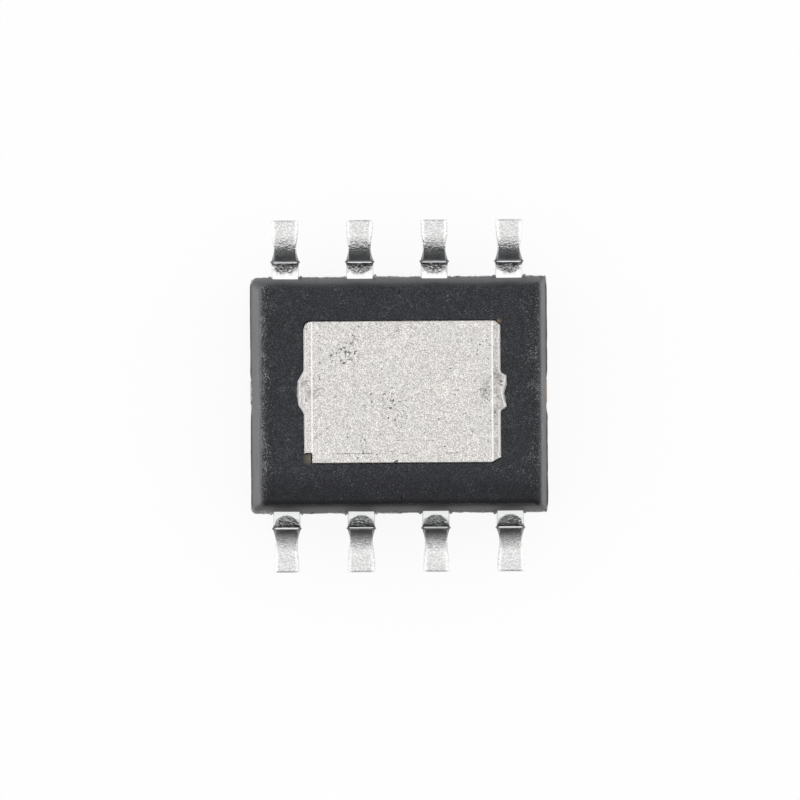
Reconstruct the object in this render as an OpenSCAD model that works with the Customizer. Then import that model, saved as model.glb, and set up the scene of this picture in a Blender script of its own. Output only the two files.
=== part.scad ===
// Eight-lead small-outline power package with an exposed thermal pad, lying on its marking face.
// Every piece is drawn as soldered, with its feet on z = 0 and its pad downwards, and then turned
// over, so that the solder side looks up and the origin is the middle of the marking face.

/* [Mould body] */
// Length of the body at its parting line, along the lead rows
body_l = 5; // [4.7:0.05:5.4]
// Width of the body at its parting line, across the lead rows
body_w = 4; // [3.7:0.02:4.4]
// Height of the body from the pad face to the parting line
pad_half_t = 0.8; // [0.7:0.01:1]
// Height of the body from the parting line to the marking face
marking_half_t = 0.65; // [0.55:0.01:0.9]
// Draft of the body's walls, in degrees
draft = 11.5; // [5:0.5:15]
// Radius of the body's upright corners
corner_r = 0.12; // [0.11:0.01:0.2]
// Radius of the edges round the two flat faces
edge_r = 0.1; // [0.02:0.01:0.1]
// Distance that the pad's half of the mould sits off the marking half along the lead rows
mould_offset = 0.06; // [0:0.005:0.08]
// Height of the plain upright band at the parting line
band_t = 0.04; // [0.02:0.01:0.08]
// Diameter of the dimple that marks pin one
dimple_d = 0.6; // [0.4:0.05:0.8]
// Depth of the dimple
dimple_depth = 0.08; // [0.04:0.01:0.12]
// Distance from the dimple's middle to the two body sides nearest to it
dimple_inset = 0.75; // [0.65:0.05:1]

/* [Leads] */
// Distance between neighbouring leads
pitch = 1.27; // [1.2:0.01:1.4]
// Width of a lead
lead_w = 0.465; // [0.35:0.005:0.55]
// Thickness of the copper sheet that the leads and the pad are stamped from
frame_t = 0.2; // [0.15:0.01:0.25]
// Straight length of a lead from the body to its first bend
shoulder_l = 0.25; // [0.15:0.01:0.4]
// Inner radius of the bend at the shoulder
shoulder_bend_r = 0.07; // [0.04:0.01:0.15]
// Lean of the riser away from upright, in degrees
riser_lean = 12; // [4:1:20]
// Inner radius of the bend at the foot
foot_bend_r = 0.1; // [0.05:0.01:0.15]
// Flat length of the foot
foot_l = 0.28; // [0.25:0.01:0.6]
// Height of the body's pad face above the soles of the feet
standoff = 0.06; // [0.02:0.01:0.15]
// Length of a lead inside the body
finger_l = 0.6; // [0.5:0.05:0.7]
// Width of the bond post at the inner end of a lead
post_w = 0.8; // [0.6:0.05:1]
// Length of the bond post
post_l = 0.4; // [0.35:0.01:0.45]

// Length of the heel that forming pressed up in front of the shoulder's bend
heel_l = 0.2; // [0.1:0.01:0.3]
// Height of the level ledge at the top of the heel
ledge_h = 0.065; // [0.03:0.005:0.1]
// Width of the ledge
ledge_w = 0.025; // [0.01:0.005:0.05]

/* [Thermal pad] */
// Length of the pad, along the lead rows
pad_l = 3.35; // [2.9:0.05:3.7]
// Width of the pad, across the lead rows
pad_w = 2.42; // [2.1:0.02:2.8]
// Radius of the pad's round corner, next to the first lead
pad_corner_r = 0.13; // [0.05:0.01:0.3]
// Chamfer of the pad's corner at the end of the first lead row
pad_chamfer = 0.085; // [0.03:0.005:0.2]
// Length and width cut off the pad's corner at the start of the second lead row
pad_cut_l = 0.15; // [0.05:0.01:0.25]
pad_cut_w = 0.085; // [0.03:0.005:0.2]
// Length and width of the notch in the pad's corner next to the last lead
pad_notch_l = 0.13; // [0.05:0.01:0.2]
pad_notch_w = 0.17; // [0.05:0.01:0.25]
// Distance that the pad sits off the body's middle along the lead rows
pad_shift_x = 0.075; // [-0.08:0.005:0.08]
// Distance that the pad sits off the body's middle across the lead rows
pad_shift_y = -0.05; // [-0.08:0.01:0.08]
// Length of the coined margin at each end of the pad
margin_l = 0.155; // [0.1:0.005:0.25]
// Depth of the step down to the margins
margin_step = 0.015; // [0.01:0.005:0.03]
// Distance from the pad's long side to the coined groove along it
groove_side_inset = 0.165; // [0.1:0.005:0.25]
// Width of the coined groove, and of the flank of the margins' step
groove_w = 0.03; // [0.02:0.005:0.06]
// Depth of the coined groove
groove_depth = 0.015; // [0.01:0.005:0.04]
// Width of the tie bars that hung the pad in its frame
tie_w = 0.4; // [0.3:0.02:0.6]
// Width of a tie bar's flared root at the pad's end
tie_root_w = 0.74; // [0.62:0.02:0.9]
// Flat length of a tie bar's root before it bends away from the pad's plane
tie_root_l = 0.1; // [0.04:0.01:0.12]
// Inner radius of the tie bars' bends
tie_bend_r = 0.05; // [0.03:0.01:0.1]
// Straight length of a tie bar where it reaches the body's end wall
tie_end_l = 0.15; // [0.1:0.01:0.2]

/* [Die and bond wires] */
// Length of the silicon die
die_l = 1.8; // [1.4:0.05:2.2]
// Width of the silicon die
die_w = 1.4; // [1.1:0.05:1.6]
// Thickness of the silicon die
die_t = 0.25; // [0.15:0.01:0.3]
// Thickness of the cement under the die
attach_t = 0.03; // [0.02:0.005:0.05]
// Distance that the cement spreads past the die
attach_rim = 0.08; // [0.04:0.01:0.15]
// Distance between neighbouring bonds on the die
die_bond_pitch = 0.45; // [0.3:0.01:0.5]
// Distance from the die's long side to its row of bonds
die_bond_inset = 0.12; // [0.1:0.01:0.2]
// Distance from a lead's inner end to the wire's landing on its post
post_bond_inset = 0.2; // [0.16:0.01:0.25]
// Diameter of a bond wire
wire_d = 0.05; // [0.03:0.005:0.06]
// Diameter of the ball at the wire's start
ball_d = 0.1; // [0.07:0.01:0.14]
// Height of the ball after bonding
ball_h = 0.06; // [0.055:0.005:0.065]
// Radius of the wire's loop, at the middle of the wire
loop_r = 0.1; // [0.08:0.01:0.15]
// Slope of the wire as it comes down to the lead, in degrees
landing_slope = 12; // [10:1:18]

/* [Hidden] */
leads_per_side = 4;
lead_count = 2 * leads_per_side;

// Smoothness of full circles, of the body's corners and edges, of each bend in the sheet,
// and of the bond wires round their section, up their ball and along their loop
$fn = 64;
corner_facets = 32;
edge_step = 18;
bend_steps = 10;
wire_sides = 10;
ball_steps = 3;
loop_steps = 6;

// Heights in the soldered pose
z_pad_face = standoff;
z_pad_top = z_pad_face + frame_t;
z_attach_top = z_pad_top + attach_t;
z_die_top = z_attach_top + die_t;
z_frame = z_pad_face + pad_half_t;
z_post = z_frame + frame_t / 2;
z_marking = z_frame + marking_half_t;

// Lead form: the riser takes up what the two bends leave of the drop from the frame to the feet
riser_turn = 90 - riser_lean;
shoulder_mid_r = shoulder_bend_r + frame_t / 2;
foot_mid_r = foot_bend_r + frame_t / 2;
lead_drop = z_frame - frame_t / 2;
bend_drop = (shoulder_mid_r + foot_mid_r) * (1 - cos(riser_turn));
riser_l = (lead_drop - bend_drop) / sin(riser_turn);

// Tie bar form: a straight run that is the tangent between two equal bends
tie_mid_r = tie_bend_r + frame_t / 2;
tie_rise = z_frame - (z_pad_face + frame_t / 2);
function tie_reach(end) = body_l / 2 - tie_end_l - (pad_l / 2 + tie_root_l) - end * pad_shift_x;
function tie_centres(end) = norm([tie_reach(end), tie_rise - 2 * tie_mid_r]);
function tie_turn(end) =
    atan2(tie_rise - 2 * tie_mid_r, tie_reach(end)) + asin(2 * tie_mid_r / tie_centres(end));
function tie_run(end) = sqrt(pow(tie_centres(end), 2) - pow(2 * tie_mid_r, 2));

// Formed sheet: stations [x, y, heading] along the middle of the sheet, with each bend in small steps.
// A bend's radius and turn are positive to the left and negative to the right.
function ahead(at, length) = [at[0] + length * cos(at[2]), at[1] + length * sin(at[2]), at[2]];
function turned(at, r, turn) = [
    at[0] + r * (sin(at[2] + turn) - sin(at[2])),
    at[1] - r * (cos(at[2] + turn) - cos(at[2])),
    at[2] + turn
];
function after(step, at) =
    len(step) == 1
        ? [ahead(at, step[0])]
        : [for (k = [1 : bend_steps]) turned(at, step[0], step[1] * k / bend_steps)];
function stations(path, at, i = 0) =
    i == len(path)
        ? [at]
        : let (next = after(path[i], at), end = next[len(next) - 1])
            concat([at], [for (k = [0 : 1 : len(next) - 2]) next[k]], stations(path, end, i + 1));
function beside(at, offset) = [at[0] - offset * sin(at[2]), at[1] + offset * cos(at[2])];

// Leads are numbered round the body, along one row and back along the other
function lead_side(n) = n <= leads_per_side ? -1 : 1;
function lead_place(n) =
    n <= leads_per_side ? n - (leads_per_side + 1) / 2 : (3 * leads_per_side + 1) / 2 - n;
function lead_x(n) = lead_place(n) * pitch;

// Both ends of a bond wire, in plan
function die_bond(n) = [
    pad_shift_x + lead_place(n) * die_bond_pitch,
    pad_shift_y + lead_side(n) * (die_w / 2 - die_bond_inset)
];
function post_bond(n) = [lead_x(n), lead_side(n) * (body_w / 2 - finger_l + post_bond_inset)];

// Wire form: the neck is as tall as the loop and the sloping run need to land on the post
wire_rise = z_post - z_die_top;
loop_turn = 90 + landing_slope;
loop_reach = loop_r * (1 + sin(landing_slope));
function neck_h(span) =
    wire_rise - loop_r * cos(landing_slope) + (span - loop_reach) * tan(landing_slope);

// Rings of points round the wire, each at [x, z], tipped over by the heading
wire_angles = [for (k = [0 : wire_sides - 1]) 360 * k / wire_sides];
function wire_ring(x, z, heading, r) = [
    for (a = wire_angles) [x + r * cos(a) * cos(heading), r * sin(a), z - r * cos(a) * sin(heading)]
];

// The ball's rings run from the die up to where the wire leaves it
ball_mid = ball_h - ball_d / 2;
ball_from = -asin(2 * ball_mid / ball_d);
ball_to = acos(wire_d / ball_d);
ball_rings = [
    for (k = [0 : ball_steps])
        let (a = ball_from + (ball_to - ball_from) * k / ball_steps)
            wire_ring(0, k == 0 ? 0 : ball_mid + ball_d / 2 * sin(a), 0, ball_d / 2 * cos(a))
];
function loop_rings(neck) = [
    for (k = [0 : loop_steps])
        let (a = loop_turn * k / loop_steps)
            wire_ring(loop_r * (1 - cos(a)), neck + loop_r * sin(a), a, wire_d / 2)
];
// The last ring slides along the sloping run until each point lies on the post
function landing_ring(ring) = [
    for (p = ring) [p.x + (p.z - wire_rise) / tan(landing_slope), p.y, wire_rise]
];

// Turns a piece over from the soldered pose onto the marking face
module on_its_back() {
    translate([0, 0, z_marking])
        rotate([180, 0, 0])
            children();
}

// Upright slab of formed sheet: its side view follows a path of flats [length] and bends [radius, turn].
// What forming pressed up beside it is given as children, in the same side view.
module formed_sheet(path, width) {
    middle = stations(path, [0, 0, 0]);
    rotate([90, 0, 0])
        linear_extrude(width, center = true) {
            polygon(concat(
                [for (at = middle) beside(at, frame_t / 2)],
                [for (i = [len(middle) - 1 : -1 : 0]) beside(middle[i], -frame_t / 2)]
            ));
            children();
        }
}

// Rectangle with round corners
module rounded_rect(length, width, r) {
    square([length - 2 * r, width], center = true);
    square([length, width - 2 * r], center = true);
    for (x = [-1, 1], y = [-1, 1])
        translate([x * (length / 2 - r), y * (width / 2 - r)])
            circle(r);
}

// One rounded rectangle's worth of thin discs, for a level of the body
module corner_discs(inset, r, z, thickness) {
    for (x = [-1, 1], y = [-1, 1])
        translate([x * (body_l / 2 - corner_r - inset), y * (body_w / 2 - corner_r - inset), z])
            cylinder(r = r, h = thickness, center = true, $fn = corner_facets);
}

// Rounded edge round one flat face: the corner discs shrink along a quarter circle
module face_edge(height, way) {
    face_inset = (height - edge_r) * tan(draft);
    skin = edge_r / 100;
    for (a = [0 : edge_step : 90])
        corner_discs(
            face_inset,
            corner_r - edge_r + edge_r * cos(a),
            z_frame + way * (height - edge_r + edge_r * sin(a) - skin / 2),
            skin
        );
}

// The drafted block before anything is cut into it
module mould_block() {
    hull() {
        corner_discs(0, corner_r, z_frame, band_t);
        translate([mould_offset, 0, 0])
            face_edge(pad_half_t, -1);
        face_edge(marking_half_t, 1);
    }
}

// Heel in side view: a ramp up from the shoulder, the level ledge, and a slope back into the riser
module pressed_heel() {
    bend_start = ahead([0, 0, 0], finger_l + shoulder_l);
    bend_end = turned(bend_start, -shoulder_mid_r, -riser_turn);
    riser_end = ahead(bend_end, riser_l);
    ledge = beside(bend_start, -frame_t / 2 - ledge_h);
    sunk_ramp = [heel_l, -ledge_h] / 2;
    polygon([
        ledge - 3 * sunk_ramp,
        ledge,
        ledge + [ledge_w, 0],
        beside(riser_end, -frame_t / 4),
        beside(riser_end, 0),
        beside(bend_end, 0),
        beside(bend_start, 0)
    ]);
}

// One lead along +x: foot, riser, shoulder and the bond post inside the body
module gull_wing() {
    translate([body_w / 2 - finger_l, 0, z_frame]) {
        formed_sheet(
            [
                [finger_l + shoulder_l],
                [-shoulder_mid_r, -riser_turn],
                [riser_l],
                [foot_mid_r, riser_turn],
                [foot_l]
            ],
            lead_w
        )
            pressed_heel();
        translate([0, -post_w / 2, -frame_t / 2])
            cube([post_l, post_w, frame_t]);
    }
}

module placed_lead(n) {
    translate([lead_x(n), 0, 0])
        rotate([0, 0, 90 * lead_side(n)])
            gull_wing();
}

// One tie bar along +x from the pad's middle to the body's end wall
module tie_bar(end) {
    formed_sheet(
        [
            [pad_l / 2 + tie_root_l],
            [tie_mid_r, tie_turn(end)],
            [tie_run(end)],
            [-tie_mid_r, -tie_turn(end)],
            [tie_end_l]
        ],
        tie_w
    );
}

// Pad in plan: one corner round, one chamfered, one cut off and one notched, and the roots of the tie bars
module pad_plan() {
    x = pad_l / 2;
    y = pad_w / 2;
    translate([pad_corner_r - x, pad_corner_r - y])
        circle(pad_corner_r);
    polygon([
        [-x, pad_corner_r - y],
        [pad_corner_r - x, -y],
        [x - pad_chamfer, -y],
        [x, pad_chamfer - y],
        [x, y - pad_cut_w],
        [x - pad_cut_l, y],
        [pad_notch_l - x, y],
        [pad_notch_l - x, y - pad_notch_w],
        [-x, y - pad_notch_w]
    ]);
    for (end = [-1, 1])
        polygon([
            [0, tie_root_w / 2],
            [end * x, tie_root_w / 2],
            [end * (x + tie_root_l), tie_w / 2],
            [end * (x + tie_root_l), -tie_w / 2],
            [end * x, -tie_root_w / 2],
            [0, -tie_root_w / 2]
        ]);
}

// Die pad with both tie bars, before it is coined
module pad_blank() {
    translate([pad_shift_x, pad_shift_y, z_pad_face]) {
        linear_extrude(frame_t)
            pad_plan();
        for (end = [-1, 1])
            translate([0, 0, frame_t / 2])
                rotate([0, 0, 90 - 90 * end])
                    tie_bar(end);
    }
}

// What coining pressed down: the margins at both ends, and a groove along the side of the second lead row
module pad_coining() {
    margin_x = pad_l / 2 - margin_l;
    margin_end = pad_l / 2 + tie_root_l + tie_mid_r;
    translate([pad_shift_x, pad_shift_y, z_pad_face]) {
        for (end = [-1, 1])
            rotate([90, 0, 90 - 90 * end])
                linear_extrude(2 * pad_w, center = true)
                    polygon([
                        [margin_x, -margin_step],
                        [margin_x, 0],
                        [margin_x + groove_w, margin_step],
                        [margin_end, margin_step],
                        [margin_end, -margin_step]
                    ]);
        translate([-margin_x, pad_w / 2 - groove_side_inset, 0])
            rotate([90, 0, 90])
                linear_extrude(2 * margin_x)
                    polygon([[-groove_w / 2, 0], [groove_w / 2, 0], [0, groove_depth]]);
    }
}

module cement_layer() {
    translate([pad_shift_x, pad_shift_y, z_pad_top])
        linear_extrude(attach_t)
            rounded_rect(die_l + 2 * attach_rim, die_w + 2 * attach_rim, attach_rim);
}

module die_block() {
    translate([pad_shift_x - die_l / 2, pad_shift_y - die_w / 2, z_attach_top])
        cube([die_l, die_w, die_t]);
}

// One wire from its ball at the origin to a landing at the given distance along +x
module wire_loop(span) {
    loop = loop_rings(neck_h(span));
    rings = concat(ball_rings, loop, [landing_ring(loop[loop_steps])]);
    last = (len(rings) - 1) * wire_sides;
    polyhedron(
        points = [for (ring = rings) each ring],
        faces = concat(
            [[for (j = [0 : wire_sides - 1]) j]],
            [
                for (i = [0 : len(rings) - 2], j = [0 : wire_sides - 1])
                    let (here = i * wire_sides, above = here + wire_sides, k = (j + 1) % wire_sides)
                        [here + j, above + j, above + k, here + k]
            ],
            [[for (j = [wire_sides - 1 : -1 : 0]) last + j]]
        )
    );
}

module placed_wire(n) {
    span = post_bond(n) - die_bond(n);
    translate([die_bond(n).x, die_bond(n).y, z_die_top])
        rotate([0, 0, atan2(span.y, span.x)])
            wire_loop(norm(span));
}

module mould_body() {
    color([0.21, 0.21, 0.23])
        on_its_back()
            difference() {
                mould_block();
                pad_blank();
                cement_layer();
                die_block();
                for (n = [1 : lead_count]) {
                    placed_lead(n);
                    placed_wire(n);
                }
                translate([
                    dimple_inset - body_l / 2,
                    dimple_inset - body_w / 2,
                    z_marking - dimple_depth
                ])
                    cylinder(d = dimple_d, h = 2 * dimple_depth);
            }
}

module thermal_pad() {
    color([0.8, 0.79, 0.77])
        on_its_back()
            difference() {
                pad_blank();
                pad_coining();
            }
}

module die_attach() {
    color([0.6, 0.6, 0.62])
        on_its_back()
            cement_layer();
}

module silicon_die() {
    color([0.3, 0.32, 0.38])
        on_its_back()
            die_block();
}

module lead(n) {
    color([0.85, 0.85, 0.84])
        on_its_back()
            placed_lead(n);
}

module bond_wire(n) {
    color([0.72, 0.45, 0.25])
        on_its_back()
            placed_wire(n);
}

mould_body();
thermal_pad();
die_attach();
silicon_die();
for (n = [1 : lead_count]) {
    lead(n);
    bond_wire(n);
}
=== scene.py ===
import math

import bmesh
import bpy
from mathutils import Matrix, Quaternion, Vector, noise


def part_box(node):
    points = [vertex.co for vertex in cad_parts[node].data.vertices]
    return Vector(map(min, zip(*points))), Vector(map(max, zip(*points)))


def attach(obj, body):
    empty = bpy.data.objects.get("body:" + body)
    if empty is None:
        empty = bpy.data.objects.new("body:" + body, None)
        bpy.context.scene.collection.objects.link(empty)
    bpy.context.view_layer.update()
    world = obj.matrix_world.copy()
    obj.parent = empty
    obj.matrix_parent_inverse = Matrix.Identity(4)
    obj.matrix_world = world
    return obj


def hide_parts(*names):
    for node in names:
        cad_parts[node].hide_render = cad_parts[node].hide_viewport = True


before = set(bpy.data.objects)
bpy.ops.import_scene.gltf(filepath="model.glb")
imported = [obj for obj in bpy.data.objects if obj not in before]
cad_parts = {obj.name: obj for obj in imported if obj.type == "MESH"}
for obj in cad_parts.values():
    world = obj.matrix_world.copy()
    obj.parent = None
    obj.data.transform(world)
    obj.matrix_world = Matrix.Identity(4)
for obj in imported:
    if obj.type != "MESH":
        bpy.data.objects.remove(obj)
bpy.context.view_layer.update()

# Dressed model of an eight-lead power package with an exposed pad, lying on its marking face.
# Pieces are drawn in millimetres, in the frame of the solids, and brought to metres when they are finished.
MM = 0.001


def node_box(name):
    """Lowest and highest corner of a solid, in millimetres."""
    low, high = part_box(name)
    return low / MM, high / MM


# Photograph: its side and the place of the body's middle in pixels, its scale, and the camera's lens and roll
picture = 800
middle_pixel = (397.8, 394.8)
pixels_per_mm = 58.66
lens_length = 500
sensor = 36
camera_roll = math.radians(-0.37)
camera_range = (0.01, 10)

# Light: radiance of the soft dome overhead, how close it gathers there and how far it leans to the back,
# and its radiance all round, at its back and at its ends
overhead_light = 1.2
overhead_focus = 3
overhead_lean = math.radians(8)
round_light = 0.22
back_light = 0.12
end_light = 1.5

# Floor: how much of it is plain white to the camera and in reflections, its half side, its gap to the object
floor_white_seen = 0.9
floor_white_mirrored = 0.6
floor_half = 300
floor_drop = 0.002

# Mould body: its sizes, the shift and lean of the pad's half, and edges that are worn wider at the two ends
body_low, body_high = node_box("mould_body")
body_half_l = (body_high.x - body_low.x) / 2
body_half_w = (body_high.y - body_low.y) / 2
pad_face_z = body_high.z
marking_face_z = body_low.z
parting_z = 0.65
band_t = 0.04
draft = math.radians(11.5)
half_shift = 0.045
end_lean = 0.017
edge_r = 0.1
worn_edge_r = {-1: 0.19, 1: 0.2}
worn_edge_reach = 0.3
edge_steps = 9
face_ring = 1.3
wall_steps = 6
wall_column = 0.02
corner_steps = 6
corner_radii = {(-1, 1): 0.13, (1, 1): 0.06, (-1, -1): 0.08, (1, -1): 0.07}
dimple_r = 0.3
dimple_depth = 0.08
dimple_place = (-1.75, 1.25)
dimple_steps = 48

# Flash: how far it stands out along the lead rows, at the two ends and in a lobe beside each lead, its waves
# to the millimetre, and how much of it is steady, coarse and fine
flash_reach = 0.02
flash_at_ends = {-1: 0.012, 1: 0.02}
flash_beside_lead = 0.05
flash_lobe_off = 0.03
flash_lobe_reach = 0.05
flash_waves = (7, 24)
flash_mix_ends = (0.95, 0.15, 0.1)
flash_mix_rows = (0.85, 0.5, 0.5)
end_margin = 0.1

# Walls: the ends' swell, the share of the way out where a wall begins, its waver, and the wear of the edges
end_swell = {-1: 0, 1: 0.033}
wall_share = 0.9
wall_waver = 0.006
wall_waves = 2.5
wall_reach = 0.3
edge_wear = 0.012
end_edge_wear = 0.022
wear_waves = 23

# Formed sheet of the leads and the tie bars
sheet_t = 0.2
roll_r = 0.09
roll_steps = 5
sheet_columns = 16
bend_steps = 20
flat_step = 0.015

# Leads, numbered as the solids are; what differs between the rows has 1 for the back row and -1 for the front
lead_count = sum(name.startswith("lead_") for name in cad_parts)
lead_pitch = 1.27
lead_places = (0.5, 1.5)
lead_w = 0.465
post_w = 0.8
post_l = 0.4
finger_l = 0.6
shoulder_l = 0.25
shoulder_bend_r = 0.07
riser_turn = math.radians(78)
foot_bend_r = 0.1
foot_l = {1: 0.26, -1: 0.297}
foot_top_z = node_box("lead_1")[1].z
shoulder_top_z = parting_z + sheet_t / 2
heel_y = body_half_w + shoulder_l
waist_w = 0.385
waist_reach = 0.45
flare_l = 0.25
edge_sharp = 0.75

# What forming did to each lead: its foot's width, its ledge, heel and ears, its ragged tip and wavering foot
foot_w = {1: 0.475, 2: 0.46, 3: 0.46, 4: 0.465, 5: 0.465, 6: 0.44, 7: 0.47, 8: 0.43}
ledge_h = 0.066
ledge_z = shoulder_top_z + ledge_h
ledge_fade = 0.45
heel_w = 0.43
heel_reach = {1: 0.24, -1: 0.225}
heel_curve = {1: 2.2, -1: 1.5}
heel_rough = {1: 0.2, 2: 0.15, 3: 0.14, 4: 0.18, 5: 0.05, 6: 0.06, 7: 0.05, 8: 0.08}
heel_edge_waves = 18
heel_waves = 34
heel_apart = 40
ear_swell = 0.022
ear_reach = 0.06
ear_place = 0.04
tip_drop = 0.022
tip_l = 0.03
tip_ragged = 0.5
tip_waves = 16
foot_waver = 0.012
foot_waves = 9

# Thermal pad: its outline and trimmed corners, its edge and end rims, the lowered margins and the score line
pad_half_l = 1.675
pad_half_w = 1.21
pad_middle = (0.075, 0.05)
pad_round_r = 0.136
pad_round_steps = 6
pad_cuts = {(1, 1): (0.09, 0.08), (-1, -1): (0.128, 0.17), (1, -1): (0.15, 0.085)}
pad_notch = (-1, -1)
pad_column = 0.03
pad_gap = 0.01
pad_edge_r = 0.016
pad_rim_w = 0.03
margin_l = 0.155
margin_step_w = 0.026
margin_step = 0.014
score_inset = 0.165
score_w = 0.02
score_depth = 0.014
score_dashes = [(-1.17, -0.47), (-0.08, 0.15), (0.49, 0.59), (0.71, 0.97)]
score_dash_end = 0.03

# Tie bars: the lobed root that stands out of each end of the pad, and the strip from there to the end wall
root_out = 0.1
root_half_w = 0.37
root_slope_w = 0.17
root_lobe_ends = (0.27, 0.34)
root_waist = -0.04
root_waist_reach = 0.22
root_waist_depth = 0.5
root_ragged = 0.1
root_waves = 14
tie_w = 0.4
tie_root_l = 0.1
tie_bend_r = 0.05
tie_end_l = 0.15
tie_proud = 0.01

# How near two places are to count as one, and how far apart the seeds of the noise lie
flush = 1e-5
seed_step = (17.3, 5.1, 9.7)

# Spots where a finish is soiled or worn, each as its place x and y, its reach and its level
soil_spots = [
    (-0.8, 0.95, 0.2, 0.8),
    (-0.9, 0.7, 0.3, 1),
    (-0.13, -0.12, 0.3, 0.8),
    (-0.02, -0.4, 0.12, 1),
    (0.46, 0.04, 0.08, 1),
    (0.94, 0.52, 0.11, 0.9),
    (-1.33, 0.11, 0.2, 0.9),
    (1.52, -0.01, 0.22, 0.9),
    (1.14, -0.35, 0.07, 1),
    (-0.88, -0.66, 0.08, 1),
    (-0.6, -0.78, 0.1, 0.8),
    (1.7, -0.4, 0.3, 0.6),
    (1.7, 0.2, 0.3, 0.6),
    (-1.68, 0.08, 0.4, 0.5),
]
bleed_spots = [
    (-1.5, -1.075, 0.13, 1.3),
    (1.82, -0.06, 0.09, 0.3),
    (-1.72, 0.1, 0.09, 0.25),
]
bare_spots = [(1.715, 1.235, 0.06, 1)]
smudge_spots = [
    (1.69, 0.3, 0.12, 0.9),
    (1.5, 0.19, 0.09, 0.8),
    (1.48, 0.06, 0.11, 0.9),
    (1.47, -0.04, 0.08, 1),
    (1.68, -0.3, 0.14, 0.7),
    (-1.46, 0.05, 0.14, 0.9),
    (-1.6, 0.2, 0.13, 0.6),
]
frost_spots = [
    (-2.3, -2.0, 0.4, 1),
    (-2.45, 1.95, 0.2, 0.6),
    (-1.25, 2.0, 0.3, 0.35),
    (0, 2.0, 0.5, 0.5),
    (1.3, 2.0, 0.3, 0.35),
    (-0.23, -2.0, 0.3, 0.5),
    (-1.2, -2.0, 0.3, 0.35),
    (2.35, -2.0, 0.3, 0.5),
]

# Finishes: grains to the millimetre, the turn that keeps the grain off the pixels' rows, the resin's shine
resin_grains = 48
pad_grains = 64
lead_grains = 34
copper_grains = 18
grain_axis = (1, 1, 2)
grain_turn = 0.7
resin_shine = 0.42

# Ranges over which the body's finish changes: distances off its parting line, and places on it
eroded_climb = (0.45, 0.65)
flash_climb = (0.016, 0.03)
frost_climb = (0.12, 0.3)
row_wall_y = (1.85, 1.95)
# the rims at the two ends, strongest at the left, also make the filler paler: partly wear, partly painted
# highlight
left_rim_x = (-2.26, -2.1)
left_rim_z = (1.08, 1.26)
right_rim_x = (2.0, 2.36)
right_rim_z = (0.8, 1.05)
# front_edge_y and front_fade_y place a strip of painted shade along the front edge of the face, which is also
# rougher there
front_edge_y = (-1.84, -1.76)
front_fade_y = (-1.6, -1.3)

# Places of the pad's stained ends, and heights over which a lead's finish changes
left_stain_x = (-1.66, -1.6)
right_stain_x = (1.6, 1.62)
worn_z = (1.0, 1.35)
bend_z = (0.9, 1.2)
bend_top_z = (1.46, 1.51)
edge_z = (1.1, 1.3)
outer_side_z = (1.2, 1.4)
rough_foot_z = (1.3, 1.48)
smudge_y = (2.02, 2.09)

# Colours of the mould compound
resin_dark = (0, 0.0005, 0.003, 1)
resin_light = (0.057, 0.059, 0.069, 1)
resin_mottle = (0.012, 0.016, 0.018, 1)
# painted shade for the strip along the front edge of the face
resin_painted_front_shade = (0.002, 0.002, 0.004, 1)
resin_bleed = (0.15, 0.14, 0.1, 1)
bare_copper = (0.27, 0.19, 0.13, 1)
filler_dull = (0.16, 0.17, 0.19, 1)
# filler colour at the rims: real filler, made paler at the ends as painted highlight
filler_with_painted_highlight = (0.44, 0.445, 0.46, 1)
flash_pale = (0.45, 0.45, 0.46, 1)
rime_thin = (0.2, 0.2, 0.22, 1)
rime_thick = (0.7, 0.7, 0.74, 1)

# Colours of the pad
pad_dark = (0.48, 0.464, 0.447, 1)
pad_light = (0.97, 0.939, 0.912, 1)
pad_cloud = (0.68, 0.72, 0.69, 1)
pad_stain = (0.42, 0.41, 0.395, 1)
pad_smudge = (0.3, 0.29, 0.265, 1)
pad_pit = (0.15, 0.147, 0.14, 1)
# painted highlight on the pad's slopes that face its ends
pad_painted_highlight = (0.97, 0.95, 0.93, 1)

# Colours of the leads and their cut ends; pairs are for the front row and the back row
foot_dark = (0.645, 0.645, 0.64, 1)
foot_light = (0.855, 0.855, 0.85, 1)
# painted highlight on the rolled sides of the feet
foot_edge_painted_highlight = (0.98, 0.98, 0.98, 1)
# the same tin in the two rows with painted light and shade: darker shoulders on the front row, darker risers
# on the back row
shoulder_painted_light_colours = ((0.8, 0.81, 0.815, 1), (0.94, 0.943, 0.947, 1))
riser_painted_light_colours = ((0.96, 0.965, 0.968, 1), (0.69, 0.708, 0.725, 1))
# the heel's blotches are painted shade and painted highlight, lighter on the back row
heel_painted_shade = (0.27, 0.27, 0.265, 1)
heel_painted_lights = ((0.6, 0.61, 0.61, 1), (0.97, 0.97, 0.96, 1))
ledge_shadow = (0.06, 0.06, 0.06, 1)
streak_dark = (0.4, 0.405, 0.41, 1)
streak_light = (0.82, 0.825, 0.83, 1)
lead_smudge = (0.2, 0.2, 0.195, 1)
# painted shade on the ears beside the ledge and on the riser's sides
lead_ear_painted_shade = (0.15, 0.15, 0.15, 1)
copper_dark = (0.16, 0.11, 0.08, 1)
copper_light = (0.36, 0.24, 0.17, 1)


# Helpers for pieces

def finish_piece(bm, name, materials, replaced, crease=math.radians(34)):
    """Makes the drawn mesh a piece of the object, in metres, standing for one solid."""
    bmesh.ops.recalc_face_normals(bm, faces=bm.faces)
    bmesh.ops.scale(bm, vec=(MM, MM, MM), verts=bm.verts)
    mesh = bpy.data.meshes.new(name)
    bm.to_mesh(mesh)
    bm.free()
    for material in materials:
        mesh.materials.append(material)
    mesh.shade_smooth()
    mesh.set_sharp_from_angle(angle=crease)
    piece = bpy.data.objects.new(name, mesh)
    bpy.context.scene.collection.objects.link(piece)
    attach(piece, "root")
    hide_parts(replaced)
    return piece


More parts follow.
